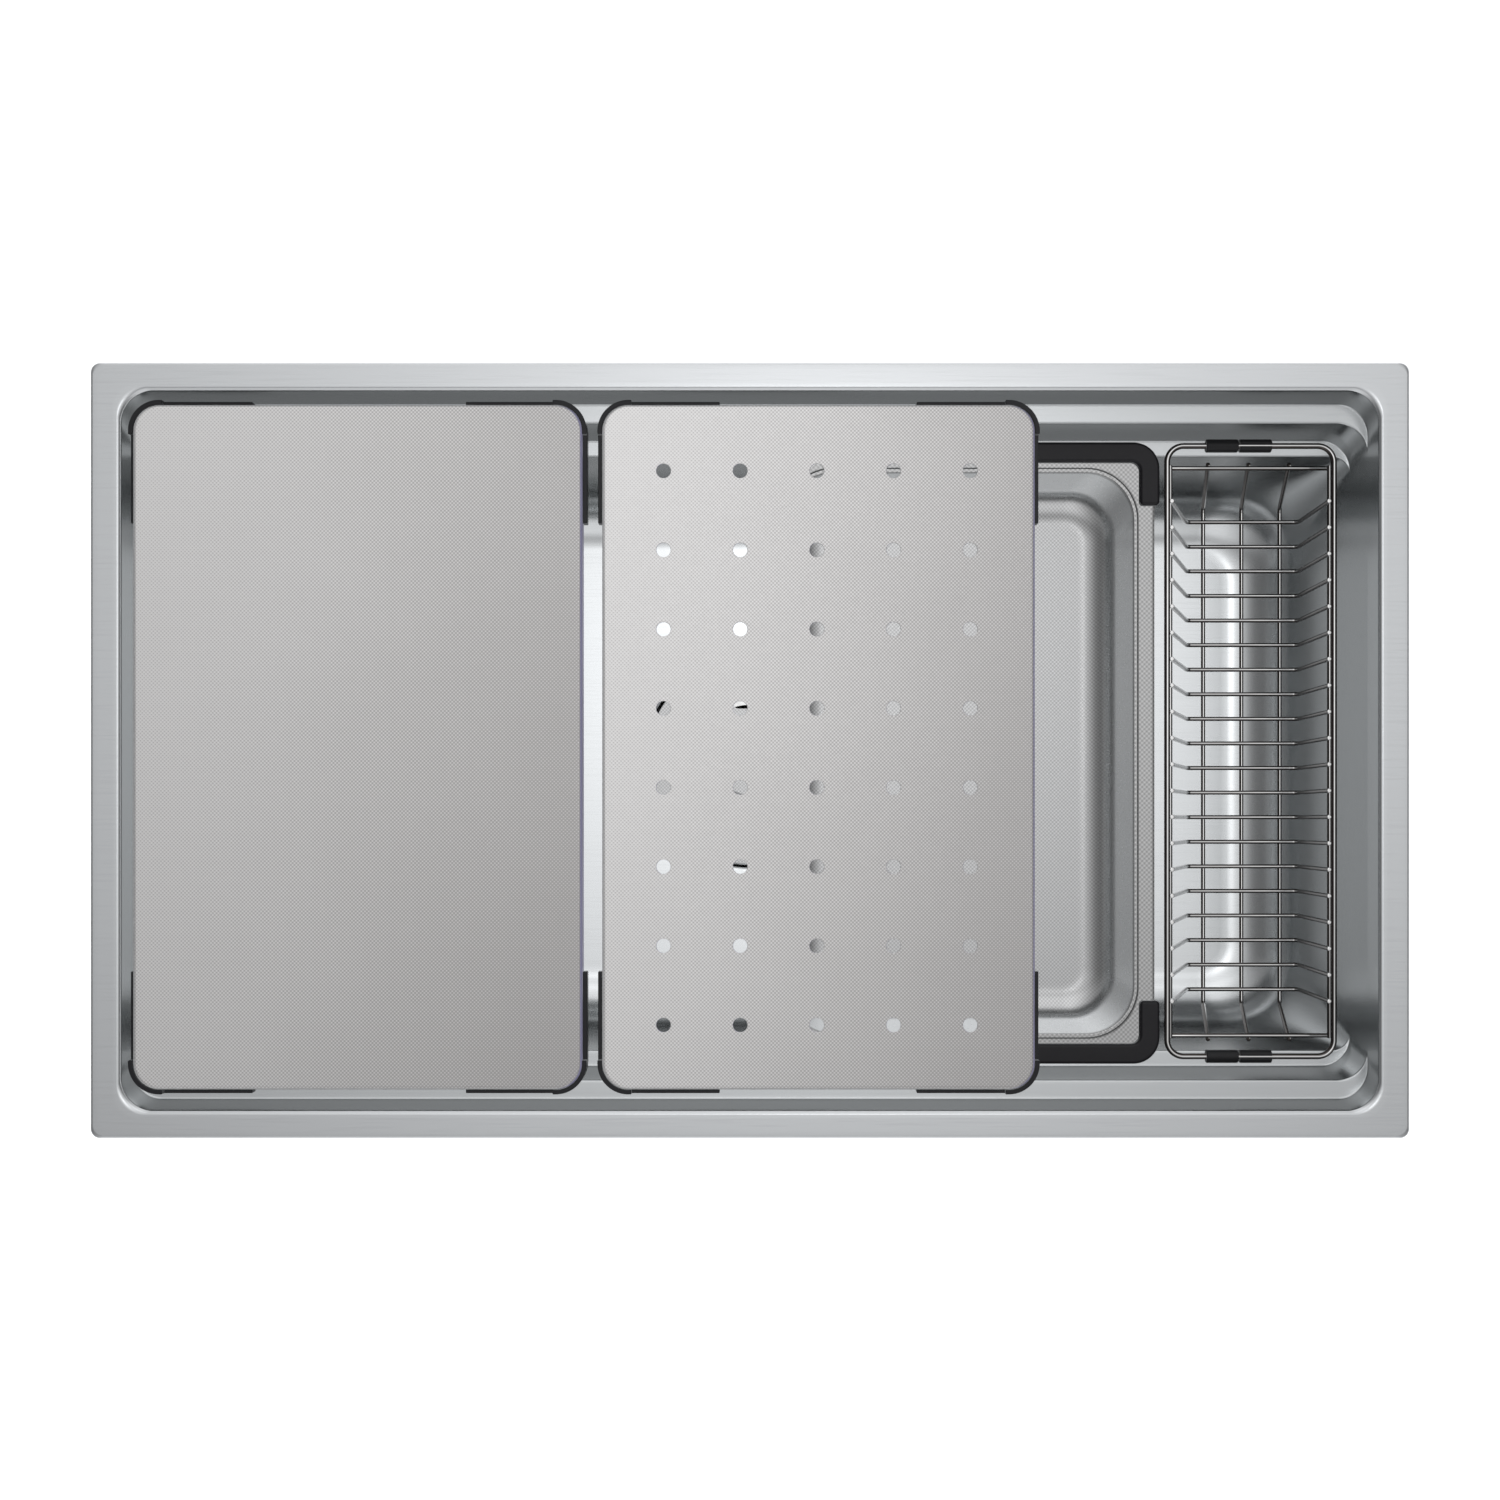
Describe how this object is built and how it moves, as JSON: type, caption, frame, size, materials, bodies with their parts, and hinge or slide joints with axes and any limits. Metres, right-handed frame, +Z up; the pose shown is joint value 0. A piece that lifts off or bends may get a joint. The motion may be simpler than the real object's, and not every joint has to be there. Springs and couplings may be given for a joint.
{
  "type": "kitchen sink",
  "caption": "Drop-in steel kitchen sink with ledges that carry a plain board, a perforated board, a deep tray and a wire basket, and a basket strainer waste under a flush cover.",
  "frame": {"origin": "centre of the rim's underside, in the plane where the sink hangs on the worktop", "axes": "+X to the right along the long side, +Y to the back, +Z up out of the bowl"},
  "size_m": [0.85, 0.5, 0.3425],
  "materials": {
    "bowl_steel": "satin, fine embossed grain",
    "board_steel": "fine embossed weave pattern",
    "textured_steel": "fine embossed grain",
    "waste_steel": "polished",
    "zinc_steel": "zinc plated",
    "chromed_wire": "bright",
    "black_rubber": "matt",
    "damping_rubber": "matt",
    "foam": "matt foam",
    "fibre": "matt fibre",
    "white_plastic": "moulded",
    "handle_plastic": "satin",
    "guard_plastic": "satin"
  },
  "bodies": {
    "sink": {"sink_bowl": "bowl_steel", "rim_seal": "foam", "sound_pads": "damping_rubber", "clip_rails": "zinc_steel", "rim_clips": "zinc_steel", "clip_screws": "zinc_steel", "drain_top_seal": "black_rubber", "drain_body": "waste_steel", "drain_gasket": "black_rubber", "drain_fibre_washer": "fibre", "drain_locknut": "white_plastic", "tailpiece_washer": "black_rubber", "tailpiece": "white_plastic", "coupling_nut": "white_plastic"},
    "strainer": {"strainer_basket": "waste_steel", "strainer_stopper": "black_rubber", "strainer_knob": "waste_steel"},
    "drain_cover": {"cover_plate": "textured_steel", "cover_legs": "waste_steel"},
    "plain_board": {"plain_board_plate": "board_steel", "plain_board_guard_back_right": "guard_plastic", "plain_board_guard_back_left": "guard_plastic", "plain_board_guard_front_left": "guard_plastic", "plain_board_guard_front_right": "guard_plastic"},
    "holed_board": {"holed_board_plate": "board_steel", "holed_board_guard_back_right": "guard_plastic", "holed_board_guard_back_left": "guard_plastic", "holed_board_guard_front_left": "guard_plastic", "holed_board_guard_front_right": "guard_plastic"},
    "tray": {"tray_pan": "textured_steel", "tray_handle_back": "handle_plastic", "tray_handle_front": "handle_plastic"},
    "wire_basket": {"basket_rim": "chromed_wire", "basket_ribs": "chromed_wire", "basket_side_rails": "chromed_wire", "basket_end_wires": "chromed_wire", "basket_long_wires": "chromed_wire", "basket_sleeves": "black_rubber"}
  },
  "joints": [
    {"name": "strainer_lift", "type": "slide", "parent": "sink", "child": "strainer", "axis": [0, 0, 1], "range_m": [0, 0.008]},
    {"name": "cover_lift", "type": "slide", "parent": "sink", "child": "drain_cover", "axis": [0, 0, 1], "range_m": [0, 0.08]},
    {"name": "plain_board_lift", "type": "slide", "parent": "sink", "child": "plain_board", "axis": [0, 0, 1], "range_m": [0, 0.12]},
    {"name": "holed_board_slide", "type": "slide", "parent": "sink", "child": "holed_board", "axis": [1, 0, 0], "range_m": [0, 0.216]},
    {"name": "tray_slide", "type": "slide", "parent": "sink", "child": "tray", "axis": [1, 0, 0], "range_m": [-0.408, 0]},
    {"name": "basket_slide", "type": "slide", "parent": "sink", "child": "wire_basket", "axis": [1, 0, 0], "range_m": [-0.0035, 0.0035]}
  ]
}
